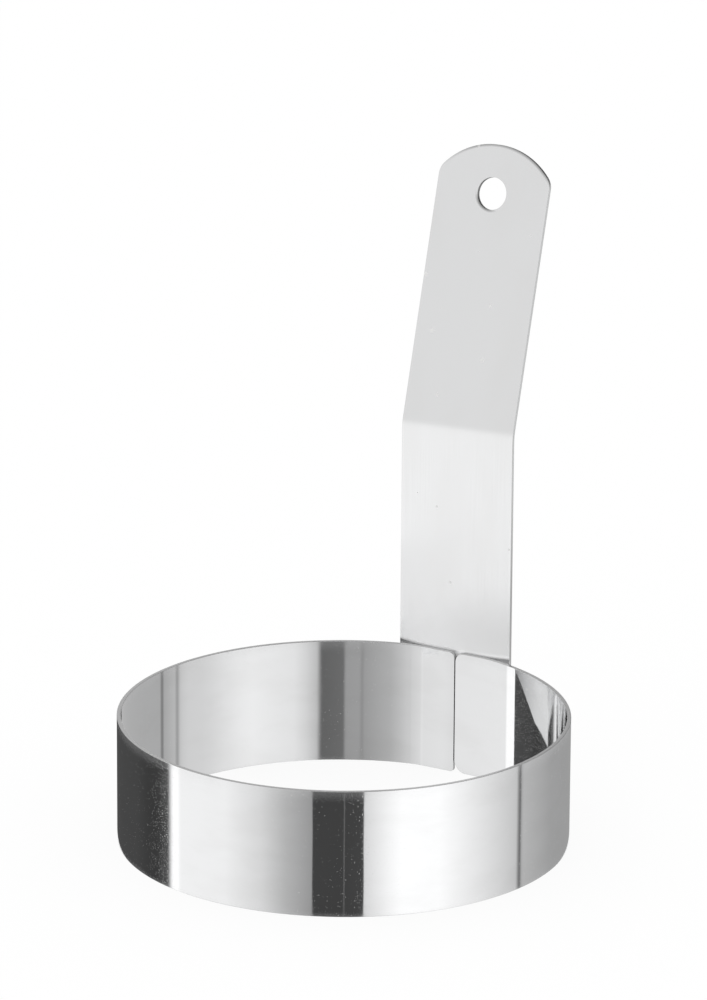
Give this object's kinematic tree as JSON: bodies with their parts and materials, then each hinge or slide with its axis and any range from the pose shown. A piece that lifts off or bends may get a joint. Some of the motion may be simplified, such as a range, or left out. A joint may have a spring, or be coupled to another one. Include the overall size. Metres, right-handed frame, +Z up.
{
  "type": "egg ring",
  "caption": "Open round steel band that shapes an egg in a pan, with an upright strip handle welded behind its seam, bent outwards and ending in a hanging hole.",
  "frame": {"origin": "middle of the object's footprint on the table: half way from the ring's front to the handle's tip, in the plane of the ring's lower rim", "axes": "+Z up, along the ring's axis; +Y from the ring towards the handle; +X across the handle"},
  "size_m": [0.0888, 0.1048, 0.127],
  "materials": {
    "polished_steel": "stainless steel sheet with a mirror polish",
    "satin_steel": "stainless steel sheet with a fine satin polish",
    "weld_steel": "dull grey weld metal"
  },
  "bodies": {
    "root": {"ring_band": "polished_steel", "handle": "satin_steel", "spot_weld_lower_left": "weld_steel", "spot_weld_lower_right": "weld_steel", "spot_weld_upper_left": "weld_steel", "spot_weld_upper_right": "weld_steel"}
  },
  "joints": []
}
